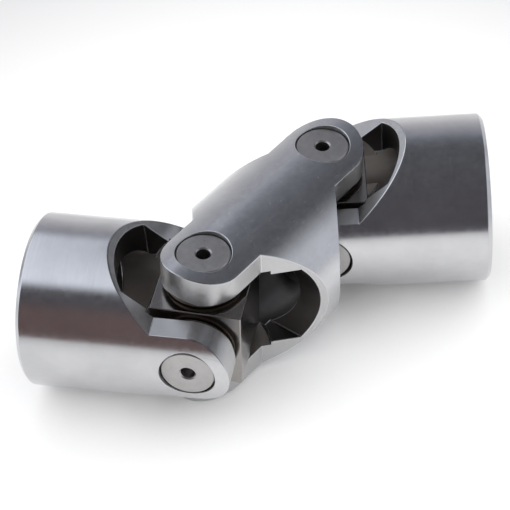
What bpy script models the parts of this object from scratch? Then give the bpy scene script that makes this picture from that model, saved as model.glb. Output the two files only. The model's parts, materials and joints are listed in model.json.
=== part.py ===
"""Double universal (Cardan) joint: two bored hubs, a centre yoke and two pinned cross blocks.

Lengths are in millimetres up to the helper that makes each mesh, which turns them into metres.
The joint lies on its side: Z is up, the floor is z = 0, and X runs along the two hubs.
"""
import math

import bmesh
import bpy
from mathutils import Matrix, Vector

MM = 0.001

# Driving dimensions
OUTER_RADIUS = 16.0        # hubs and yoke
BORE_RADIUS = 8.0          # shaft bore of each hub
HUB_LENGTH = 31.3          # joint centre to hub end face
CENTRE_DISTANCE = 36.0     # joint centre to joint centre along the yoke
PIN_RADIUS = 4.95
PIN_REACH = 15.2           # joint centre to the flat end of each pin
BLOCK_HALF = 8.3           # half the side of the cross block
EAR_RADIUS = 7.7           # round end and half width of each fork ear
RUNNING_GAP = 0.2          # pin to ear bore
FACE_GAP = 0.25            # between faces that slide or touch

# Shape of each fork, measured from its joint centre
SLOT_HALF = 8.7            # half the gap between the ears
SLOT_FLOOR_RADIUS = 15.1   # the floor of the gap is an arc about the joint centre
SPOT_FACE_RADIUS = 11.9    # turned face inside each ear
SPOT_FACE_HALF = 9.5
SWING_BORE_RADIUS = 10.2   # lets the other fork's ears swing past the floor
SWING_BORE_DEPTH = 18.4
CROTCH_START = 6.7         # where the flat flank of an ear ends
CROTCH_END = 16.2          # where the sloping cut reaches the outside
END_CHAMFER = 0.8
BORE_CHAMFER = 0.7
PIN_CHAMFER = 0.2

# Cross details
CENTRE_HOLE_RADIUS = 1.3
CENTRE_HOLE_DEPTH = 3.2
COUNTERSINK_RADIUS = 1.75
DOWEL_RADIUS = 1.0
DOWEL_REACH = 9.0
WASHER_RADIUS = 7.0

# Pose: the joint lies bent in a Z on the floor
LEFT_BEND = math.radians(-64.0)
RIGHT_BEND = math.radians(-51.9)
YOKE_ROLL = math.radians(3.6)
YOKE_YAW = -(LEFT_BEND + RIGHT_BEND) / 2

OUTER_SEGMENTS = 64
BORE_SEGMENTS = 40
PIN_SEGMENTS = 32
SMALL_SEGMENTS = 16
CUT = 30.0                 # how far cutters run past the solid


# ---------------------------------------------------------------- meshes

def mesh_object(name, bm, frame):
    """Turn a bmesh in millimetres into an object in metres that stands at frame."""
    bmesh.ops.recalc_face_normals(bm, faces=bm.faces)
    bmesh.ops.scale(bm, vec=(MM, MM, MM), verts=bm.verts)
    mesh = bpy.data.meshes.new(name)
    bm.to_mesh(mesh)
    bm.free()
    obj = bpy.data.objects.new(name, mesh)
    bpy.context.collection.objects.link(obj)
    obj.matrix_world = frame
    return obj


def lathe(profile, segments):
    """A closed body turned about X; profile is a list of (x, radius) from end to end."""
    bm = bmesh.new()
    rings = []
    for x, radius in profile:
        ring = []
        for index in range(segments):
            angle = 2 * math.pi * (index + 0.5) / segments
            ring.append(bm.verts.new((x, radius * math.cos(angle), radius * math.sin(angle))))
        rings.append(ring)
    for near, far in zip(rings, rings[1:]):
        for index in range(segments):
            after = (index + 1) % segments
            bm.faces.new((near[index], near[after], far[after], far[index]))
    return bm, rings


def turned_solid(profile, segments):
    """A lathe body with flat discs on both ends."""
    bm, rings = lathe(profile, segments)
    bm.faces.new(rings[0])
    bm.faces.new(rings[-1])
    return bm


def turned_ring(profile, segments):
    """A lathe body whose profile is a closed loop round the axis."""
    bm, rings = lathe(profile + profile[:1], segments)
    bmesh.ops.remove_doubles(bm, verts=bm.verts, dist=1e-5)
    return bm


def extrusion(outline, axes, half_depth):
    """A prism: outline holds pairs along the two given axes, and the third axis gets the depth."""
    bm = bmesh.new()
    depth_axis = 3 - axes[0] - axes[1]
    caps = []
    for side in (-half_depth, half_depth):
        cap = []
        for first, second in outline:
            point = [0.0, 0.0, 0.0]
            point[axes[0]] = first
            point[axes[1]] = second
            point[depth_axis] = side
            cap.append(bm.verts.new(point))
        caps.append(cap)
    bm.faces.new(caps[0])
    bm.faces.new(caps[1])
    count = len(outline)
    for index in range(count):
        after = (index + 1) % count
        bm.faces.new((caps[0][index], caps[0][after], caps[1][after], caps[1][index]))
    return bm


def arc(centre, radius, start_deg, end_deg, steps):
    """Points on a circle in the plane, from start to end."""
    points = []
    for step in range(steps + 1):
        angle = math.radians(start_deg + (end_deg - start_deg) * step / steps)
        points.append((centre[0] + radius * math.cos(angle), centre[1] + radius * math.sin(angle)))
    return points


# ---------------------------------------------------------------- booleans

def cut_with(body, cutter, operation="DIFFERENCE"):
    """Leave an exact Boolean on body and hide the cutter."""
    cutter.hide_render = True
    cutter.display_type = "WIRE"
    modifier = body.modifiers.new(cutter.name, "BOOLEAN")
    modifier.operation = operation
    modifier.solver = "EXACT"
    modifier.object = cutter


def cutter_object(name, bm, frame):
    """A cutter, named after the body that it shapes."""
    return mesh_object(name + "_cutter", bm, frame)


# ---------------------------------------------------------------- materials

def steel(name, colour, roughness):
    """A plain steel for one sub-part."""
    material = bpy.data.materials.new(name)
    material.use_nodes = True
    shader = material.node_tree.nodes["Principled BSDF"]
    shader.inputs["Base Color"].default_value = (*colour, 1.0)
    shader.inputs["Metallic"].default_value = 1.0
    shader.inputs["Roughness"].default_value = roughness
    return material


def finish(obj, colour, roughness):
    """Give a sub-part its own steel and smooth shading with sharp edges kept."""
    obj.data.materials.append(steel(obj.name + "_steel", colour, roughness))
    obj.data.shade_smooth()
    obj.data.set_sharp_from_angle(angle=math.radians(30))


# ---------------------------------------------------------------- forks

def flip_about_z():
    return Matrix.Rotation(math.pi, 4, "Z")


def along_z():
    """Turns a lathe body from the X axis to the Z axis."""
    return Matrix.Rotation(-math.pi / 2, 4, "Y")


def shifted(x):
    return Matrix.Translation((x * MM, 0, 0))


def crotch_at(side):
    """Where the sloping crotch cut lies at a distance from the axis."""
    slope = (CROTCH_END - CROTCH_START) / (OUTER_RADIUS - EAR_RADIUS)
    return CROTCH_START + slope * (side - EAR_RADIUS)


def ear_outline(far_end):
    """The fork seen along its pin: a round-ended ear that opens into the full width."""
    wide = OUTER_RADIUS + 4
    points = arc((0, 0), EAR_RADIUS, 90, 270, 20)
    points += [(CROTCH_START, -EAR_RADIUS), (crotch_at(wide), -wide)]
    points += [(far_end, -wide), (far_end, wide)]
    points += [(crotch_at(wide), wide), (CROTCH_START, EAR_RADIUS)]
    return points


def slot_outline():
    """The gap between the ears, seen from the side, with its rounded floor."""
    edge = math.degrees(math.asin(SLOT_HALF / SLOT_FLOOR_RADIUS))
    points = [(-CUT, SLOT_HALF), (-CUT, -SLOT_HALF)]
    points += arc((0, 0), SLOT_FLOOR_RADIUS, -edge, edge, 10)
    return points


def cut_fork(body, frame):
    """Cut one fork at frame: gap, turned faces, swing bore and the bore for the pins."""
    slot = cutter_object(body.name + "_slot", extrusion(slot_outline(), (0, 2), CUT), frame)
    cut_with(body, slot)
    faces = turned_solid([(-SPOT_FACE_HALF, SPOT_FACE_RADIUS), (SPOT_FACE_HALF, SPOT_FACE_RADIUS)],
                         OUTER_SEGMENTS)
    cut_with(body, cutter_object(body.name + "_spot_face", faces, frame @ along_z()))
    hole_radius = PIN_RADIUS + RUNNING_GAP
    hole = turned_solid([(-CUT, hole_radius), (CUT, hole_radius)], BORE_SEGMENTS)
    cut_with(body, cutter_object(body.name + "_pin_bore", hole, frame @ along_z()))


def make_hub(name, frame):
    """A hub: chamfered cylinder with a shaft bore, and a fork whose pin is along local Z."""
    blank = turned_solid([(-EAR_RADIUS - 1, OUTER_RADIUS),
                          (HUB_LENGTH - END_CHAMFER, OUTER_RADIUS),
                          (HUB_LENGTH, OUTER_RADIUS - END_CHAMFER)], OUTER_SEGMENTS)
    hub = mesh_object(name, blank, frame)
    outline = extrusion(ear_outline(HUB_LENGTH + 5), (0, 1), CUT)
    cut_with(hub, cutter_object(name + "_outline", outline, frame), "INTERSECT")
    cut_fork(hub, frame)
    step = SWING_BORE_RADIUS - BORE_RADIUS
    bore = turned_solid([(-CUT, SWING_BORE_RADIUS),
                         (SWING_BORE_DEPTH, SWING_BORE_RADIUS),
                         (SWING_BORE_DEPTH + step, BORE_RADIUS),
                         (HUB_LENGTH - BORE_CHAMFER, BORE_RADIUS),
                         (HUB_LENGTH + 1, BORE_RADIUS + BORE_CHAMFER + 1)], BORE_SEGMENTS)
    cut_with(hub, cutter_object(name + "_shaft_bore", bore, frame))
    finish(hub, (0.60, 0.60, 0.61), 0.28)
    return hub


def make_yoke(name, frame):
    """The centre yoke: a fork at each end of one short cylinder, bored through its middle."""
    half = CENTRE_DISTANCE / 2
    reach = half + EAR_RADIUS + 1
    yoke = mesh_object(name, turned_solid([(-reach, OUTER_RADIUS), (reach, OUTER_RADIUS)],
                                          OUTER_SEGMENTS), frame)
    left = frame @ shifted(-half)
    right = frame @ shifted(half) @ flip_about_z()
    for fork_frame in (left, right):
        outline = extrusion(ear_outline(half * 2 + EAR_RADIUS + 5), (0, 1), CUT)
        cut_with(yoke, cutter_object(name + "_outline", outline, fork_frame), "INTERSECT")
        cut_fork(yoke, fork_frame)
    window = turned_solid([(-CUT - half, SWING_BORE_RADIUS), (CUT + half, SWING_BORE_RADIUS)],
                          BORE_SEGMENTS)
    cut_with(yoke, cutter_object(name + "_swing_bore", window, frame))
    finish(yoke, (0.62, 0.62, 0.64), 0.24)
    return yoke


# ---------------------------------------------------------------- crosses

def make_block(name, frame):
    """The cross block: a cube with two bores that meet in its middle."""
    side = BLOCK_HALF
    cube = extrusion([(-side, -side), (side, -side), (side, side), (-side, side)], (0, 1), side)
    block = mesh_object(name, cube, frame)
    radius = PIN_RADIUS + FACE_GAP
    for axis_name, turn in (("z", along_z()), ("y", Matrix.Rotation(math.pi / 2, 4, "Z"))):
        bore = turned_solid([(-CUT, radius), (CUT, radius)], BORE_SEGMENTS)
        cut_with(block, cutter_object(name + "_" + axis_name + "_bore", bore, frame @ turn))
    finish(block, (0.42, 0.40, 0.38), 0.34)
    return block


def make_long_pin(name, frame):
    """The pin that runs right through the block, with a cross hole for the locking dowel."""
    profile = [(-PIN_REACH, PIN_RADIUS - PIN_CHAMFER), (-PIN_REACH + PIN_CHAMFER, PIN_RADIUS),
               (PIN_REACH - PIN_CHAMFER, PIN_RADIUS), (PIN_REACH, PIN_RADIUS - PIN_CHAMFER)]
    pin = mesh_object(name, turned_solid(profile, PIN_SEGMENTS), frame)
    for end_name, turn in (("far", Matrix.Identity(4)), ("near", flip_about_z())):
        cutter = turned_solid(centre_hole_profile(CENTRE_HOLE_DEPTH), SMALL_SEGMENTS)
        cut_with(pin, cutter_object(name + "_" + end_name, cutter, frame @ turn))
    radius = DOWEL_RADIUS + FACE_GAP
    cross_hole = turned_solid([(-CUT, radius), (CUT, radius)], SMALL_SEGMENTS)
    cut_with(pin, cutter_object(name + "_cross_hole", cross_hole, frame @ along_z()))
    finish(pin, (0.55, 0.54, 0.52), 0.36)
    return pin


def centre_hole_profile(depth):
    """The profile of a centre drilling in the end of a pin at x = PIN_REACH."""
    mouth = COUNTERSINK_RADIUS - CENTRE_HOLE_RADIUS
    return [(PIN_REACH - depth, CENTRE_HOLE_RADIUS), (PIN_REACH - mouth, CENTRE_HOLE_RADIUS),
            (PIN_REACH + 1, COUNTERSINK_RADIUS + 1)]


def make_short_pin(name, frame):
    """A pin from one side of the block to the long pin, drilled through for the dowel."""
    root = PIN_RADIUS + FACE_GAP
    profile = [(root, PIN_RADIUS), (PIN_REACH - PIN_CHAMFER, PIN_RADIUS),
               (PIN_REACH, PIN_RADIUS - PIN_CHAMFER)]
    pin = mesh_object(name, turned_solid(profile, PIN_SEGMENTS), frame)
    cutter = turned_solid(centre_hole_profile(PIN_REACH), SMALL_SEGMENTS)
    cut_with(pin, cutter_object(name + "_hole", cutter, frame))
    finish(pin, (0.55, 0.54, 0.52), 0.36)
    return pin


def make_dowel(name, frame):
    """The dowel that locks the long pin and both short pins together."""
    profile = [(-DOWEL_REACH, DOWEL_RADIUS - 0.2), (-DOWEL_REACH + 0.2, DOWEL_RADIUS),
               (DOWEL_REACH - 0.2, DOWEL_RADIUS), (DOWEL_REACH, DOWEL_RADIUS - 0.2)]
    dowel = mesh_object(name, turned_solid(profile, SMALL_SEGMENTS), frame)
    finish(dowel, (0.30, 0.29, 0.28), 0.45)
    return dowel


def make_washer(name, frame):
    """A thrust washer between the block and one ear."""
    inner = PIN_RADIUS + FACE_GAP
    near = BLOCK_HALF + FACE_GAP
    far = SPOT_FACE_HALF - FACE_GAP
    loop = [(near, inner), (near, WASHER_RADIUS), (far, WASHER_RADIUS), (far, inner)]
    washer = mesh_object(name, turned_ring(loop, PIN_SEGMENTS), frame)
    finish(washer, (0.50, 0.47, 0.40), 0.40)
    return washer


def make_cross(side, frame):
    """One cross: local Y is the hub pin axis and local Z the yoke pin axis."""
    to_hub_pin = Matrix.Rotation(math.pi / 2, 4, "Z")
    make_block(side + "_cross_block", frame)
    make_long_pin(side + "_hub_pin", frame @ to_hub_pin)
    ends = (("upper", along_z()), ("lower", Matrix.Rotation(math.pi / 2, 4, "Y")))
    for end_name, turn in ends:
        make_short_pin(side + "_yoke_pin_" + end_name, frame @ turn)
        make_washer(side + "_yoke_washer_" + end_name, frame @ turn)
    for end_name, turn in (("front", to_hub_pin.inverted()), ("back", to_hub_pin)):
        make_washer(side + "_hub_washer_" + end_name, frame @ turn)
    make_dowel(side + "_locking_dowel", frame @ along_z())


# ---------------------------------------------------------------- pose

def hub_roll(bend):
    """How far the hub turns on its pin so that its axis is level while the yoke is rolled."""
    return math.atan(math.tan(YOKE_ROLL) * math.sin(bend))


def plan_corners(centre, direction):
    """The hub's corners seen from above; its pins are level, so an ear reaches each side."""
    along = Vector((math.cos(direction), math.sin(direction)))
    across = Vector((-along.y, along.x))
    corners = []
    for length in (-EAR_RADIUS, HUB_LENGTH):
        for side in (-OUTER_RADIUS, OUTER_RADIUS):
            corners.append(centre + along * length + across * side)
    return corners


def main():
    for obj in list(bpy.data.objects):
        bpy.data.objects.remove(obj, do_unlink=True)

    half = CENTRE_DISTANCE / 2
    turn = Matrix.Rotation(YOKE_YAW, 4, "Z") @ Matrix.Rotation(YOKE_ROLL, 4, "X")
    half_turn = flip_about_z()
    left_cross = turn @ shifted(-half) @ Matrix.Rotation(LEFT_BEND, 4, "Z")
    right_cross = turn @ shifted(half) @ Matrix.Rotation(RIGHT_BEND, 4, "Z")
    left_hub = left_cross @ Matrix.Rotation(hub_roll(LEFT_BEND), 4, "Y")
    right_hub = right_cross @ Matrix.Rotation(hub_roll(RIGHT_BEND), 4, "Y")
    pin_to_z = Matrix.Rotation(math.pi / 2, 4, "X")

    corners = []
    for frame, direction in ((left_hub, -1), (right_hub, 1)):
        axis = frame.col[0].xyz * direction
        centre = Vector((frame.translation.x, frame.translation.y)) / MM
        corners += plan_corners(centre, math.atan2(axis.y, axis.x))
    middle = [(min(c[i] for c in corners) + max(c[i] for c in corners)) / 2 for i in (0, 1)]
    place = Matrix.Translation((-middle[0] * MM, -middle[1] * MM, OUTER_RADIUS * MM))

    make_hub("left_hub", place @ left_hub @ half_turn @ pin_to_z)
    make_hub("right_hub", place @ right_hub @ pin_to_z)
    make_yoke("center_yoke", place @ turn)
    make_cross("left", place @ left_cross)
    make_cross("right", place @ right_cross)


main()
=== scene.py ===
"""The look of the double universal joint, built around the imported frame.

Every piece is modelled in millimetres in its own local frame and placed by the frame's joints and
mounts. Forks are cut from turned blanks, get fine chamfers on their edges, and take exact normals
on their round faces, so that the ground steel mirrors the studio without facets.
"""

import json
import math

import bmesh
import bpy
from mathutils import Euler, Matrix, Vector


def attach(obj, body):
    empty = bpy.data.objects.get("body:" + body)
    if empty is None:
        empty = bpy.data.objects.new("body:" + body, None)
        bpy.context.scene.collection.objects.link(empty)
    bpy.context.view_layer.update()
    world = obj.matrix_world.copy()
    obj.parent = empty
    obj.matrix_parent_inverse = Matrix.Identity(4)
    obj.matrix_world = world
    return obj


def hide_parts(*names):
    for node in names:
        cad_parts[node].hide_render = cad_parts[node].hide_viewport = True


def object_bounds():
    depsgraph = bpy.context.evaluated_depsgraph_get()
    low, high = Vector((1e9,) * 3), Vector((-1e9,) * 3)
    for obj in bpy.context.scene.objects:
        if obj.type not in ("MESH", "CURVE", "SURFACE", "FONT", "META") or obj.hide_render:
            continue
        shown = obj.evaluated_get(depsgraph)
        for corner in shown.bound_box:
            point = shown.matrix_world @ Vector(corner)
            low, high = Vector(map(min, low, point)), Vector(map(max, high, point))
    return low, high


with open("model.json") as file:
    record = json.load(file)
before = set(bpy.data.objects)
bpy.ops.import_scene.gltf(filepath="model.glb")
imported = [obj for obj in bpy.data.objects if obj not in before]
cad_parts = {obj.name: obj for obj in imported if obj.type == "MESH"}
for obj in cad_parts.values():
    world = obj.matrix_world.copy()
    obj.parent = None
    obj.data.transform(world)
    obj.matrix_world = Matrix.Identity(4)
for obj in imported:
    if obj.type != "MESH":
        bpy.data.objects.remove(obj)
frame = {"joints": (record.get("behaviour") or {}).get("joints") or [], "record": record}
cad_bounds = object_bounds()

MM = 0.001

# Hubs and yoke, in millimetres
OUTER_RADIUS = 16.0
BORE_RADIUS = 8.0
HUB_LENGTH = 31.3          # joint centre to the end face
EAR_RADIUS = 7.7           # round end and half width of an ear
SLOT_HALF = 8.7            # half the gap between two ears
SLOT_FLOOR_RADIUS = 15.1
SPOT_FACE_RADIUS = 11.9    # turned face round the pin, on the inside of an ear
SPOT_FACE_HALF = 9.5
SWING_BORE_RADIUS = 10.2   # wider bore behind the fork
SWING_BORE_DEPTH = 18.4
CROTCH_START = 6.7         # the crotch slopes from the ear's side out to the full width
CROTCH_END = 16.2
END_CHAMFER = 0.8
BORE_CHAMFER = 0.7
PIN_HOLE_RADIUS = 5.1
EDGE_BREAK = 0.16

# Crosses, in millimetres
PIN_RADIUS = 4.95
PIN_REACH = 15.2
PIN_CHAMFER = 0.22
PIN_ROOT_GAP = 0.25        # between a short pin's root and the long pin
BLOCK_HALF = 8.3
BLOCK_EDGE = 0.22
BLOCK_BORE_RADIUS = 5.2
CENTRE_HOLE_RADIUS = 1.3
CENTRE_HOLE_DEPTH = 3.2
COUNTERSINK_RADIUS = 1.55
DOWEL_HOLE_RADIUS = 1.25
DOWEL_RADIUS = 1.0
DOWEL_REACH = 9.0
DOWEL_CHAMFER = 0.1
WASHER_INNER = 5.2
WASHER_RADIUS = 7.0
WASHER_NEAR = 8.55
WASHER_FAR = 9.25
WASHER_RIM = 0.12

# Meshes
OUTER_SEGMENTS = 176
BORE_SEGMENTS = 96
ARC_STEPS = 48
FLOOR_STEPS = 24
SMALL_SEGMENTS = 40
EAR_RINGS = (-0.25, 5.9)   # extra rings of a blank, counted from the joint centre
BLANK_SPARE = 1.0          # a blank reaches this far past the ear's round end
OUTLINE_SPARE = 5.0        # an outline reaches this far past the blank's end
SIDE_SPARE = 4.0           # and this far past its side
CUT = 30.0                 # half the length of a cutter

# Edges, normals and finishes
SHARP_DEG = 24             # an edge that turns by more than this is broken
ON_SURFACE = 0.03          # a face this near a turned surface takes its normals
SAME_WAY = 0.995           # and its own normal must agree this well
PAST_END = 0.3             # a turned surface still counts this far past its end
FLAT = 0.98                # cosine above which a face lies square to an axis
UPRIGHT = 0.02             # cosine below which a face runs along the pin
ROUGHLY_UPRIGHT = 0.1
NEAR_BORE = 0.05           # how near a bore's radius a face of the bore lies
NEAR_SKIN = 0.1
SKIN = 1.0                 # a milled face's centre lies at least this deep inside the outline

# Studio, in metres and degrees
FLOOR_RADIUS = 0.16
FLOOR_GAP = 0.00005
CAMERA_PLACE = (0.03996, -0.2850, 0.27373)
CAMERA_TURN_DEG = (48.04, 3.50, 5.24)
CAMERA_SENSOR_MM = 36.0
CAMERA_LENS_MM = 145.4
PLAIN_LIGHT = 1.35


# ---------------------------------------------------------------- solids

def turned(profile, segments, closed=False):
    """A body turned about X from (x, radius) pairs; a closed profile makes a ring."""
    bm = bmesh.new()
    rings = []
    for x, radius in profile:
        ring = []
        for index in range(segments):
            angle = 2 * math.pi * (index + 0.5) / segments
            ring.append(bm.verts.new((x, radius * math.cos(angle), radius * math.sin(angle))))
        rings.append(ring)
    pairs = list(zip(rings, rings[1:]))
    if closed:
        pairs.append((rings[-1], rings[0]))
    for near, far in pairs:
        for index in range(segments):
            after = (index + 1) % segments
            bm.faces.new((near[index], near[after], far[after], far[index]))
    if not closed:
        bm.faces.new(rings[0])
        bm.faces.new(rings[-1])
    return bm


def prism(outline, axes, half_depth):
    """An extrusion of an outline given along two axes."""
    bm = bmesh.new()
    depth_axis = 3 - axes[0] - axes[1]
    caps = []
    for side in (-half_depth, half_depth):
        cap = []
        for first, second in outline:
            point = [0.0, 0.0, 0.0]
            point[axes[0]] = first
            point[axes[1]] = second
            point[depth_axis] = side
            cap.append(bm.verts.new(point))
        caps.append(cap)
    bm.faces.new(caps[0])
    bm.faces.new(caps[1])
    for index in range(len(outline)):
        after = (index + 1) % len(outline)
        bm.faces.new((caps[0][index], caps[0][after], caps[1][after], caps[1][index]))
    return bm


def arc(radius, start_deg, end_deg, steps):
    """Points along an arc round the origin."""
    points = []
    for step in range(steps + 1):
        angle = math.radians(start_deg + (end_deg - start_deg) * step / steps)
        points.append((radius * math.cos(angle), radius * math.sin(angle)))
    return points


def crotch_at(side):
    """How far from the pin the sloping crotch lies, at a distance to the side."""
    slope = (CROTCH_END - CROTCH_START) / (OUTER_RADIUS - EAR_RADIUS)
    return CROTCH_START + slope * (side - EAR_RADIUS)


def ear_outline(far_end):
    """The fork seen along its pin: a round-ended ear that opens into the full width."""
    wide = OUTER_RADIUS + SIDE_SPARE
    points = arc(EAR_RADIUS, 90, 270, ARC_STEPS)
    points += [(CROTCH_START, -EAR_RADIUS), (crotch_at(wide), -wide)]
    points += [(far_end, -wide), (far_end, wide)]
    points += [(crotch_at(wide), wide), (CROTCH_START, EAR_RADIUS)]
    return points


def slot_outline():
    """The gap between the ears, seen from the side, with its round floor."""
    edge = math.degrees(math.asin(SLOT_HALF / SLOT_FLOOR_RADIUS))
    floor = arc(SLOT_FLOOR_RADIUS, -edge, edge, FLOOR_STEPS)
    return [(-CUT, SLOT_HALF), (-CUT, -SLOT_HALF)] + floor


def temporary(bm, place=Matrix.Identity(4)):
    """A throw-away object that holds a cutter or a blank."""
    bmesh.ops.recalc_face_normals(bm, faces=bm.faces)
    mesh = bpy.data.meshes.new("temporary")
    bm.to_mesh(mesh)
    bm.free()
    obj = bpy.data.objects.new("temporary", mesh)
    bpy.context.scene.collection.objects.link(obj)
    obj.matrix_world = place
    return obj


def carve(blank, cuts):
    """Cut the blank with every (operation, mesh, place) in turn and return the result."""
    body = temporary(blank)
    helpers = []
    for operation, cutter_mesh, place in cuts:
        cutter = temporary(cutter_mesh, place)
        helpers.append(cutter)
        modifier = body.modifiers.new("cut", "BOOLEAN")
        modifier.operation = operation
        modifier.solver = "EXACT"
        modifier.object = cutter
    bpy.context.view_layer.update()
    evaluated = body.evaluated_get(bpy.context.evaluated_depsgraph_get())
    result = bmesh.new()
    result.from_mesh(evaluated.to_mesh())
    evaluated.to_mesh_clear()
    for obj in [body] + helpers:
        mesh = obj.data
        bpy.data.objects.remove(obj, do_unlink=True)
        bpy.data.meshes.remove(mesh)
    return result


# ---------------------------------------------------------------- edges and normals

def break_edges(bm, width, weld=0.05):
    """Chamfer every sharp edge and mark the new faces."""
    bmesh.ops.remove_doubles(bm, verts=bm.verts, dist=weld)
    bmesh.ops.dissolve_degenerate(bm, edges=bm.edges, dist=weld / 4)
    mark = bm.faces.layers.int.new("broken")
    limit = math.radians(SHARP_DEG)
    sharp = [edge for edge in bm.edges if edge.is_manifold and edge.calc_face_angle() > limit]
    made = bmesh.ops.bevel(bm, geom=sharp, offset=width, offset_type="OFFSET", segments=2,
                           profile=0.5, affect="EDGES", clamp_overlap=False, loop_slide=True)
    for face in made["faces"]:
        face[mark] = 1
    return mark


def turned_normal(surface, point):
    """The normal of a turned surface at a point, and the point's distance from the surface."""
    origin, axis, start, end = surface
    arm = point - origin
    along = arm.dot(axis)
    radial = arm - axis * along
    radius = radial.length
    if radius < 1e-6:
        return None, 1.0
    run = Vector((end[0] - start[0], end[1] - start[1]))
    length = run.length
    run = run / length
    offset = Vector((along - start[0], radius - start[1]))
    reach = offset.dot(run)
    if reach < -PAST_END or reach > length + PAST_END:
        return None, 1.0
    side = offset.x * -run.y + offset.y * run.x
    normal = radial / radius * run.x - axis * run.y
    return normal, abs(side)


def finish_mesh(name, bm, mark, surfaces, place, body, nodes, looks):
    """Set exact normals and materials, put the piece in its place, and hand it to the frame.

    The looks are (material, test) pairs: a face takes the last material whose test it passes, and
    a broken edge keeps the first. The local millimetres stay with the mesh for the materials.
    """
    bm.verts.index_update()
    bm.faces.index_update()
    bm.normal_update()
    chosen = {}
    for face in bm.faces:
        if mark is not None and face[mark]:
            continue
        centre = face.calc_center_median()
        best = None
        for surface in surfaces:
            normal, distance = turned_normal(surface, centre)
            if normal is None or distance > ON_SURFACE:
                continue
            agree = normal.dot(face.normal)
            if abs(agree) > SAME_WAY:
                best = (surface, 1 if agree > 0 else -1)
                break
        chosen[face.index] = best
        for index, (_, test) in enumerate(looks):
            if test is not None and test(centre, face.normal):
                face.material_index = index
    at_vertex = {}
    for face in bm.faces:
        if face.index not in chosen:
            continue
        best = chosen[face.index]
        for vert in face.verts:
            if best is None:
                normal = face.normal
            else:
                normal = turned_normal(best[0], vert.co)[0]
                normal = face.normal if normal is None else normal * best[1]
            at_vertex.setdefault(vert.index, []).append((face.index, normal.copy()))
    loop_normals = []
    for face in bm.faces:
        known = face.index in chosen
        for vert in face.verts:
            entries = at_vertex.get(vert.index, [])
            if known:
                normal = next(n for index, n in entries if index == face.index)
            elif entries:
                best = max(entries, key=lambda item: item[1].dot(face.normal))
                normal = best[1]
            else:
                normal = sum((f.normal * f.calc_area() for f in vert.link_faces), Vector())
            loop_normals.append(normal.normalized())
    for face in bm.faces:
        face.smooth = True
    own_place = [coordinate for vert in bm.verts for coordinate in vert.co]
    bm.transform(place @ Matrix.Diagonal((MM, MM, MM, 1)))
    mesh = bpy.data.meshes.new(name)
    bm.to_mesh(mesh)
    bm.free()
    turn = place.to_3x3()
    mesh.normals_split_custom_set([tuple(turn @ n) for n in loop_normals])
    attribute = mesh.attributes.new("own_place", "FLOAT_VECTOR", "POINT")
    attribute.data.foreach_set("vector", own_place)
    for material, _ in looks:
        mesh.materials.append(material)
    obj = bpy.data.objects.new(name, mesh)
    bpy.context.scene.collection.objects.link(obj)
    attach(obj, body)
    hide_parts(*nodes)
    return obj


# ---------------------------------------------------------------- places

X_AXIS = Vector((1, 0, 0))
Y_AXIS = Vector((0, 1, 0))
Z_AXIS = Vector((0, 0, 1))
TO_Y = Matrix.Rotation(math.pi / 2, 4, "Z")
TO_Z = Matrix.Rotation(-math.pi / 2, 4, "Y")
TO_MINUS_Z = Matrix.Rotation(math.pi / 2, 4, "Y")
HALF_TURN = Matrix.Rotation(math.pi, 4, "Z")

joints = {joint["name"]: joint for joint in frame["joints"]}
mounts = {mount["name"]: mount for mount in frame["record"]["mounts"]}


def placed(x_axis, z_axis, centre):
    """A frame in metres from two axes and a centre."""
    x_axis = Vector(x_axis).normalized()
    z_axis = Vector(z_axis)
    z_axis = (z_axis - x_axis * z_axis.dot(x_axis)).normalized()
    y_axis = z_axis.cross(x_axis)
    matrix = Matrix((x_axis, y_axis, z_axis)).transposed().to_4x4()
    matrix.translation = Vector(centre)
    return matrix


def joint_centre(side):
    return Vector(joints[side + "_yoke_pin_hinge"]["pos_m"])


def pin_axis(side, kind):
    return Vector(joints[side + "_" + kind + "_pin_hinge"]["axis"])


def cross_frame(side):
    """Local Y is the hub pin and local Z the yoke pin."""
    z_axis = pin_axis(side, "yoke")
    return placed(pin_axis(side, "hub").cross(z_axis), z_axis, joint_centre(side))


def hub_frame(side):
    """Local X points out of the shaft bore and local Z along the hub's pin."""
    outward = Vector(mounts[side + "_shaft_face"]["axis"])
    sign = 1 if side == "left" else -1
    return placed(outward, pin_axis(side, "hub") * sign, joint_centre(side))


def yoke_frame():
    left, right = joint_centre("left"), joint_centre("right")
    return placed(right - left, pin_axis("left", "yoke"), (left + right) / 2)


def centre_distance():
    return (joint_centre("right") - joint_centre("left")).length / MM


# ---------------------------------------------------------------- materials

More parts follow.
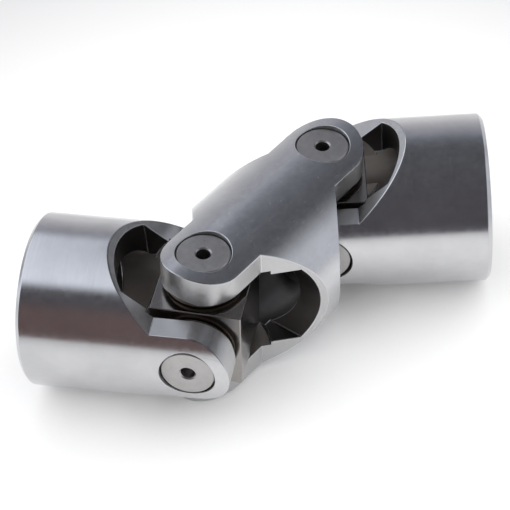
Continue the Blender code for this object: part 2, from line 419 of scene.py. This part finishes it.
class Nodes:
    """A short hand for building a node tree."""

    def __init__(self, tree):
        self.tree = tree

    def add(self, kind, **inputs):
        node = self.tree.nodes.new(kind)
        for key, value in inputs.items():
            self.put(node, key, value)
        return node

    def put(self, node, key, value):
        """Link or set one input, by its name, or by its number as i0, i1 and so on."""
        by_number = key[0] == "i" and key[1:].isdigit()
        socket = node.inputs[int(key[1:]) if by_number else key]
        if isinstance(value, bpy.types.NodeSocket):
            self.tree.links.new(value, socket)
        else:
            socket.default_value = value

    def math(self, operation, first, second=0.0, clamp=False):
        node = self.add("ShaderNodeMath", i0=first, i1=second)
        node.operation = operation
        node.use_clamp = clamp
        return node.outputs[0]

    def ramp(self, factor, low, high, to_low=0.0, to_high=1.0):
        node = self.add("ShaderNodeMapRange", Value=factor)
        node.interpolation_type = "SMOOTHSTEP"
        self.put(node, "From Min", low)
        self.put(node, "From Max", high)
        self.put(node, "To Min", to_low)
        self.put(node, "To Max", to_high)
        return node.outputs[0]

    def steps(self, factor, stops):
        node = self.add("ShaderNodeValToRGB", Fac=factor)
        elements = node.color_ramp.elements
        while len(elements) < len(stops):
            elements.new(0.5)
        for element, (position, colour) in zip(elements, stops):
            element.position = position
            element.color = (*colour, 1.0)
        return node.outputs[0]

    def noise(self, vector, scale, detail=3.0, roughness=0.5):
        node = self.add("ShaderNodeTexNoise", Vector=vector, Scale=scale, Detail=detail,
                        Roughness=roughness)
        return node.outputs["Fac"]

    def stretched(self, vector, scale):
        node = self.add("ShaderNodeMapping", Vector=vector, Scale=scale)
        return node.outputs[0]

    def mix(self, factor, first, second):
        node = self.tree.nodes.new("ShaderNodeMix")
        node.data_type = "RGBA"
        self.put(node, "i0", factor)
        for index, value in ((6, first), (7, second)):
            if isinstance(value, bpy.types.NodeSocket):
                self.tree.links.new(value, node.inputs[index])
            else:
                node.inputs[index].default_value = (*value, 1.0)
        return node.outputs[2]


def steel(name, colour, roughness, grain="turned", grain_depth=0.25, spread=0.06):
    """Ground steel: cloudy tone, fine machining lines along the cut, and a few faint marks."""
    material = bpy.data.materials.new(name)
    material.use_nodes = True
    tree = material.node_tree
    shader = tree.nodes["Principled BSDF"]
    n = Nodes(tree)
    own_place = n.add("ShaderNodeAttribute")
    own_place.attribute_name = "own_place"
    local = own_place.outputs["Vector"]
    cloud = n.noise(local, 0.16, 3.0)
    fine = n.noise(local, 1.1, 4.0, 0.6)
    if grain == "turned":
        lines = n.noise(n.stretched(local, (7.0, 0.10, 0.10)), 1.0, 3.0, 0.7)
    elif grain == "faced":
        split = n.add("ShaderNodeSeparateXYZ", Vector=local)
        squares = [n.math("MULTIPLY", side, side) for side in split.outputs[1:3]]
        radius = n.math("SQRT", n.math("ADD", *squares))
        ring = n.add("ShaderNodeCombineXYZ", X=n.math("MULTIPLY", radius, 5.0))
        lines = n.noise(ring.outputs[0], 1.0, 3.0, 0.7)
    else:
        lines = n.noise(n.stretched(local, (0.25, 3.0, 3.0)), 1.0, 3.0, 0.7)
    dark = tuple(c * (1 - spread) for c in colour)
    light = tuple(min(1.0, c * (1 + spread)) for c in colour)
    tone = n.math("ADD", n.math("MULTIPLY", cloud, 0.65), n.math("MULTIPLY", fine, 0.35))
    n.put(shader, "Base Color", n.mix(n.ramp(tone, 0.3, 0.7), dark, light))
    shader.inputs["Metallic"].default_value = 1.0
    wear = n.math("ADD", n.math("MULTIPLY", fine, 0.5), n.math("MULTIPLY", lines, 0.5))
    n.put(shader, "Roughness", n.ramp(wear, 0.25, 0.75, roughness * 0.75, roughness * 1.3))
    bump = n.add("ShaderNodeBump", Strength=grain_depth, Distance=0.00001, Height=lines)
    soft = n.add("ShaderNodeBump", Strength=0.35, Distance=0.00002, Height=cloud,
                 Normal=bump.outputs[0])
    n.put(shader, "Normal", soft.outputs[0])
    return material


# ---------------------------------------------------------------- pieces

def fork_cuts(place):
    """The gap, the turned faces and the pin bore of one fork."""
    faces = turned([(-SPOT_FACE_HALF, SPOT_FACE_RADIUS), (SPOT_FACE_HALF, SPOT_FACE_RADIUS)],
                   OUTER_SEGMENTS)
    hole = turned([(-CUT, PIN_HOLE_RADIUS), (CUT, PIN_HOLE_RADIUS)], BORE_SEGMENTS)
    return [("DIFFERENCE", prism(slot_outline(), (0, 2), CUT), place),
            ("DIFFERENCE", faces, place @ TO_Z),
            ("DIFFERENCE", hole, place @ TO_Z)]


def fork_surfaces(x):
    """The round surfaces of a fork whose pin crosses the axis at x."""
    centre = Vector((x, 0, 0))
    rounds = [(Z_AXIS, CUT, EAR_RADIUS), (Y_AXIS, CUT, SLOT_FLOOR_RADIUS),
              (Z_AXIS, SPOT_FACE_HALF, SPOT_FACE_RADIUS), (Z_AXIS, CUT, PIN_HOLE_RADIUS)]
    return [(centre, axis, (-half, radius), (half, radius)) for axis, half, radius in rounds]


def is_milled(centre, normal):
    """True for the sides and round end of an ear and for the sloping crotch."""
    inside = abs(centre.y) < OUTER_RADIUS - SKIN and centre.x < HUB_LENGTH - SKIN
    return abs(normal.z) < UPRIGHT and inside


def is_gap_wall(centre, normal):
    """True for the flat inner walls of the ears."""
    return abs(normal.z) > FLAT and abs(centre.z) < SPOT_FACE_HALF + NEAR_SKIN


def is_ear_bore(centre, normal):
    """True where a hub's bore has cut into the inner walls of its ears."""
    radius = math.hypot(centre.y, centre.z)
    in_bore = abs(radius - SWING_BORE_RADIUS) < NEAR_BORE and abs(normal.x) < ROUGHLY_UPRIGHT
    return in_bore and abs(centre.z) > 0.8 * SLOT_HALF


def is_bored(centre, normal):
    """True for the bores along the axis and the round floor of the gap, where the dark painted
    shade goes.
    """
    radius = math.hypot(centre.y, centre.z)
    if radius < SWING_BORE_RADIUS + NEAR_BORE:
        return abs(normal.x) < 0.9 and not is_gap_wall(centre, normal)
    on_floor = radius < OUTER_RADIUS - NEAR_SKIN and abs(centre.z) < SLOT_HALF
    return on_floor and abs(normal.y) < ROUGHLY_UPRIGHT


def fork_looks(looks):
    """The finishes of a fork, in the order in which they are tried; the last is the dark painted
    shade of the bores and the gap floor.
    """
    return [(looks["ground"], None), (looks["milled"], is_milled), (looks["wall"], is_gap_wall),
            (looks["bored"], is_bored)]


def profile_surfaces(profile):
    """The surface of each stretch of a profile turned about X."""
    origin = Vector((0, 0, 0))
    return [(origin, X_AXIS, start, end) for start, end in zip(profile, profile[1:])]


def make_hub(side, looks):
    rings = (-EAR_RADIUS - BLANK_SPARE, *EAR_RINGS, HUB_LENGTH - END_CHAMFER)
    shell = [(x, OUTER_RADIUS) for x in rings] + [(HUB_LENGTH, OUTER_RADIUS - END_CHAMFER)]
    step = SWING_BORE_RADIUS - BORE_RADIUS
    bore = [(-CUT, SWING_BORE_RADIUS), (SWING_BORE_DEPTH, SWING_BORE_RADIUS),
            (SWING_BORE_DEPTH + step, BORE_RADIUS), (HUB_LENGTH - BORE_CHAMFER, BORE_RADIUS),
            (HUB_LENGTH + 1, BORE_RADIUS + BORE_CHAMFER + 1)]
    here = Matrix.Identity(4)
    cuts = [("INTERSECT", prism(ear_outline(HUB_LENGTH + OUTLINE_SPARE), (0, 1), CUT), here)]
    cuts += fork_cuts(here)
    cuts += [("DIFFERENCE", turned(bore, BORE_SEGMENTS), here)]
    bm = carve(turned(shell, OUTER_SEGMENTS), cuts)
    mark = break_edges(bm, EDGE_BREAK)
    surfaces = profile_surfaces([shell[0]] + shell[-2:]) + profile_surfaces(bore)
    finishes = fork_looks(looks) + [(looks["wall"], is_ear_bore)]
    return finish_mesh(side + "_hub_body", bm, mark, surfaces + fork_surfaces(0),
                       hub_frame(side), side + "_hub", [side + "_hub"], finishes)


def make_yoke(looks):
    half = centre_distance() / 2
    rings = [half - EAR_RINGS[1], half - EAR_RINGS[0], half + EAR_RADIUS + BLANK_SPARE]
    shell = [(x, OUTER_RADIUS) for x in [-x for x in rings[::-1]] + rings]
    window = [(-CUT - half, SWING_BORE_RADIUS), (CUT + half, SWING_BORE_RADIUS)]
    cuts = []
    surfaces = profile_surfaces([shell[0], shell[-1]]) + profile_surfaces(window)
    for x, turn in ((-half, Matrix.Identity(4)), (half, HALF_TURN)):
        place = Matrix.Translation((x, 0, 0)) @ turn
        outline = ear_outline(half * 2 + EAR_RADIUS + OUTLINE_SPARE)
        cuts += [("INTERSECT", prism(outline, (0, 1), CUT), place)]
        cuts += fork_cuts(place)
        surfaces += fork_surfaces(x)
    cuts += [("DIFFERENCE", turned(window, BORE_SEGMENTS), Matrix.Identity(4))]
    bm = carve(turned(shell, OUTER_SEGMENTS), cuts)
    mark = break_edges(bm, EDGE_BREAK)
    return finish_mesh("center_yoke_body", bm, mark, surfaces, yoke_frame(), "center_yoke",
                       ["center_yoke"], fork_looks(looks))


def make_block(side, material):
    square = [(-BLOCK_HALF, -BLOCK_HALF), (BLOCK_HALF, -BLOCK_HALF),
              (BLOCK_HALF, BLOCK_HALF), (-BLOCK_HALF, BLOCK_HALF)]
    bore = [(-CUT, BLOCK_BORE_RADIUS), (CUT, BLOCK_BORE_RADIUS)]
    cuts = [("DIFFERENCE", turned(bore, BORE_SEGMENTS), turn) for turn in (TO_Z, TO_Y)]
    bm = carve(prism(square, (0, 1), BLOCK_HALF), cuts)
    mark = break_edges(bm, BLOCK_EDGE)
    origin = Vector((0, 0, 0))
    surfaces = [(origin, axis, bore[0], bore[1]) for axis in (Y_AXIS, Z_AXIS)]
    return finish_mesh(side + "_block", bm, mark, surfaces, cross_frame(side), side + "_cross",
                       [side + "_cross_block"], [(material, None)])


def pin_end(sign):
    """Half a pin's end from its rim to the bottom of the centre drilling."""
    mouth = COUNTERSINK_RADIUS - CENTRE_HOLE_RADIUS
    points = [(PIN_REACH - PIN_CHAMFER, PIN_RADIUS), (PIN_REACH, PIN_RADIUS - PIN_CHAMFER),
              (PIN_REACH, COUNTERSINK_RADIUS), (PIN_REACH - mouth, CENTRE_HOLE_RADIUS),
              (PIN_REACH - CENTRE_HOLE_DEPTH, CENTRE_HOLE_RADIUS)]
    return [(sign * x, radius) for x, radius in points]


def make_long_pin(side, material):
    profile = pin_end(-1)[::-1] + pin_end(1)
    hole = [(-CUT, DOWEL_HOLE_RADIUS), (CUT, DOWEL_HOLE_RADIUS)]
    bm = carve(turned(profile, BORE_SEGMENTS),
               [("DIFFERENCE", turned(hole, SMALL_SEGMENTS), TO_Z)])
    return finish_mesh(side + "_long_pin", bm, None, profile_surfaces(profile),
                       cross_frame(side) @ TO_Y, side + "_cross", [side + "_hub_pin"],
                       [(material, None)])


def make_short_pin(side, end, material):
    root = PIN_RADIUS + PIN_ROOT_GAP
    profile = [(root, CENTRE_HOLE_RADIUS), (root, PIN_RADIUS)] + pin_end(1)[:4]
    bm = turned(profile, BORE_SEGMENTS, closed=True)
    bmesh.ops.recalc_face_normals(bm, faces=bm.faces)
    loop = profile + profile[:1]
    turn = TO_Z if end == "upper" else TO_MINUS_Z
    return finish_mesh(side + "_short_pin_" + end, bm, None, profile_surfaces(loop),
                       cross_frame(side) @ turn, side + "_cross",
                       [side + "_yoke_pin_" + end], [(material, None)])


def make_washer(side, kind, end, turn, material):
    flat = WASHER_RADIUS - WASHER_RIM
    profile = [(WASHER_NEAR, WASHER_INNER), (WASHER_NEAR, flat),
               (WASHER_NEAR + WASHER_RIM, WASHER_RADIUS),
               (WASHER_FAR - WASHER_RIM, WASHER_RADIUS),
               (WASHER_FAR, flat), (WASHER_FAR, WASHER_INNER)]
    bm = turned(profile, BORE_SEGMENTS, closed=True)
    bmesh.ops.recalc_face_normals(bm, faces=bm.faces)
    return finish_mesh(side + "_" + kind + "_ring_" + end, bm, None,
                       profile_surfaces(profile + profile[:1]), cross_frame(side) @ turn,
                       side + "_cross", [side + "_" + kind + "_washer_" + end],
                       [(material, None)])


def make_dowel(side, material):
    start, rim = DOWEL_REACH - DOWEL_CHAMFER, DOWEL_RADIUS - DOWEL_CHAMFER
    profile = [(-DOWEL_REACH, rim), (-start, DOWEL_RADIUS),
               (start, DOWEL_RADIUS), (DOWEL_REACH, rim)]
    bm = turned(profile, SMALL_SEGMENTS)
    bmesh.ops.recalc_face_normals(bm, faces=bm.faces)
    return finish_mesh(side + "_dowel", bm, None, profile_surfaces(profile),
                       cross_frame(side) @ TO_Z, side + "_cross", [side + "_locking_dowel"],
                       [(material, None)])


def make_cross(side, looks):
    make_block(side, looks["block"])
    make_long_pin(side, looks["pin"])
    for end, turn in (("upper", TO_Z), ("lower", TO_MINUS_Z)):
        make_short_pin(side, end, looks["pin"])
        make_washer(side, "yoke", end, turn, looks["washer"])
    for end, turn in (("front", TO_Y.inverted()), ("back", TO_Y)):
        make_washer(side, "hub", end, turn, looks["washer"])
    make_dowel(side, looks["dowel"])


# ---------------------------------------------------------------- studio

def make_world():
    """Plain white light, and for reflections only a dim room with pale and dark areas.

    The room is laid out over two coordinates of a direction, across and depth. It brightens
    towards the back, and has a warm patch in front on the left, a pale wall on the right with a
    dark patch in it, and a soft box on the left.
    """
    world = bpy.data.worlds.new("studio")
    bpy.context.scene.world = world
    world.use_nodes = True
    tree = world.node_tree
    tree.nodes.clear()
    n = Nodes(tree)
    split = n.add("ShaderNodeSeparateXYZ", Vector=n.add("ShaderNodeTexCoord").outputs["Generated"])
    height = n.math("ADD", split.outputs[2], 1.001)
    across = n.math("DIVIDE", split.outputs[0], height)
    depth = n.math("DIVIDE", split.outputs[1], height)

    room = n.steps(n.math("MULTIPLY", n.math("ADD", depth, 1.0), 0.5, clamp=True),
                   [(0.00, (0.075, 0.068, 0.082)), (0.30, (0.075, 0.070, 0.082)),
                    (0.50, (0.080, 0.083, 0.095)), (0.59, (0.088, 0.092, 0.108)),
                    (0.635, (0.115, 0.122, 0.145)), (0.68, (0.175, 0.183, 0.22)),
                    (0.735, (0.33, 0.34, 0.39)), (0.79, (0.44, 0.44, 0.49)),
                    (0.85, (0.55, 0.55, 0.58)), (0.92, (0.70, 0.70, 0.72)),
                    (1.00, (0.85, 0.85, 0.86))])
    warm = n.math("MULTIPLY", n.ramp(across, -0.08, -0.20), n.ramp(depth, -0.38, -0.60))
    room = n.mix(warm, room, (0.145, 0.090, 0.088))
    room = n.mix(n.ramp(across, 0.36, 0.72), room, (0.74, 0.76, 0.82))
    shade = n.math("MULTIPLY", n.ramp(across, 0.22, 0.40), n.ramp(across, 0.74, 0.62))
    shade = n.math("MULTIPLY", shade, n.ramp(depth, 0.18, 0.30))
    shade = n.math("MULTIPLY", shade, n.ramp(depth, 0.68, 0.56))
    room = n.mix(shade, room, (0.060, 0.060, 0.070))
    box = n.math("MULTIPLY", n.ramp(across, -0.06, -0.15), n.ramp(depth, -0.30, -0.17))
    box = n.math("MULTIPLY", box, n.ramp(depth, 0.54, 0.37))
    room = n.mix(box, room, (1.16, 1.22, 1.34))

    path = n.add("ShaderNodeLightPath")
    glossy = n.add("ShaderNodeBackground", Color=room, Strength=1.0)
    plain = n.add("ShaderNodeBackground", Color=(1.0, 1.0, 1.0, 1.0), Strength=PLAIN_LIGHT)
    both = n.add("ShaderNodeMixShader", i0=path.outputs["Is Glossy Ray"],
                 i1=plain.outputs[0], i2=glossy.outputs[0])
    output = n.add("ShaderNodeOutputWorld")
    tree.links.new(both.outputs[0], output.inputs["Surface"])


def make_floor():
    """A round pale floor under the part, with painted light falloff: its colour darkens away from
    the part and lightens at its rim.
    """
    bm = bmesh.new()
    bmesh.ops.create_circle(bm, cap_ends=True, segments=96, radius=FLOOR_RADIUS)
    mesh = bpy.data.meshes.new("floor")
    bm.to_mesh(mesh)
    bm.free()
    floor = bpy.data.objects.new("floor", mesh)
    bpy.context.scene.collection.objects.link(floor)
    floor.location.z = cad_bounds[0][2] - FLOOR_GAP
    material = bpy.data.materials.new("paper_floor_painted_falloff")
    material.use_nodes = True
    shader = material.node_tree.nodes["Principled BSDF"]
    n = Nodes(material.node_tree)
    place = n.add("ShaderNodeTexCoord").outputs["Object"]
    near = n.mix(n.noise(place, 900.0, 2.0), (0.955, 0.955, 0.96), (0.975, 0.975, 0.975))
    reach = n.add("ShaderNodeVectorMath", i0=place)
    reach.operation = "LENGTH"
    # Painted light falloff: darker with distance from the middle, lighter again at the rim.
    painted_falloff = n.steps(n.math("DIVIDE", reach.outputs["Value"], FLOOR_RADIUS),
                   [(0.25, (0.0, 0.0, 0.0)), (0.58, (0.48, 0.48, 0.48)),
                    (0.84, (1.0, 1.0, 1.0)), (1.00, (0.50, 0.50, 0.50))])
    n.put(shader, "Base Color", n.mix(painted_falloff, near, (0.58, 0.58, 0.59)))
    shader.inputs["Roughness"].default_value = 0.9
    shader.inputs["Specular IOR Level"].default_value = 0.1
    floor.data.materials.append(material)


def make_camera():
    data = bpy.data.cameras.new("camera")
    camera = bpy.data.objects.new("camera", data)
    bpy.context.scene.collection.objects.link(camera)
    camera.location = CAMERA_PLACE
    camera.rotation_euler = Euler([math.radians(angle) for angle in CAMERA_TURN_DEG], "XYZ")
    data.sensor_width = CAMERA_SENSOR_MM
    data.lens = CAMERA_LENS_MM
    data.clip_start = 0.01
    bpy.context.scene.camera = camera


def main():
    looks = {
        "ground": steel("ground_steel", (0.55, 0.552, 0.565), 0.18, "turned"),
        "milled": steel("milled_steel", (0.50, 0.50, 0.505), 0.34, "brushed", 0.4),
        "wall": steel("slotted_steel", (0.50, 0.465, 0.44), 0.38, "brushed"),
        # Nearly black: painted shade for the bores and the round floor of the gap.
        "bored": steel("bored_steel", (0.085, 0.080, 0.077), 0.36, "turned"),
        "block": steel("block_hardened_steel", (0.31, 0.293, 0.28), 0.18, "brushed"),
        "pin": steel("pin_faced_steel", (0.39, 0.382, 0.378), 0.33, "faced", 0.6, 0.12),
        "washer": steel("washer_bronze_dull", (0.17, 0.145, 0.12), 0.42, "faced"),
        "dowel": steel("dowel_dark_steel", (0.26, 0.25, 0.24), 0.40, "brushed"),
    }
    yoke_ground = steel("yoke_ground_steel", (0.55, 0.555, 0.57), 0.22, "brushed", 0.12)
    for side in ("left", "right"):
        make_hub(side, looks)
        make_cross(side, looks)
    make_yoke(dict(looks, ground=yoke_ground))
    make_world()
    make_floor()
    make_camera()
    bpy.context.scene.view_settings.view_transform = "Standard"


main()
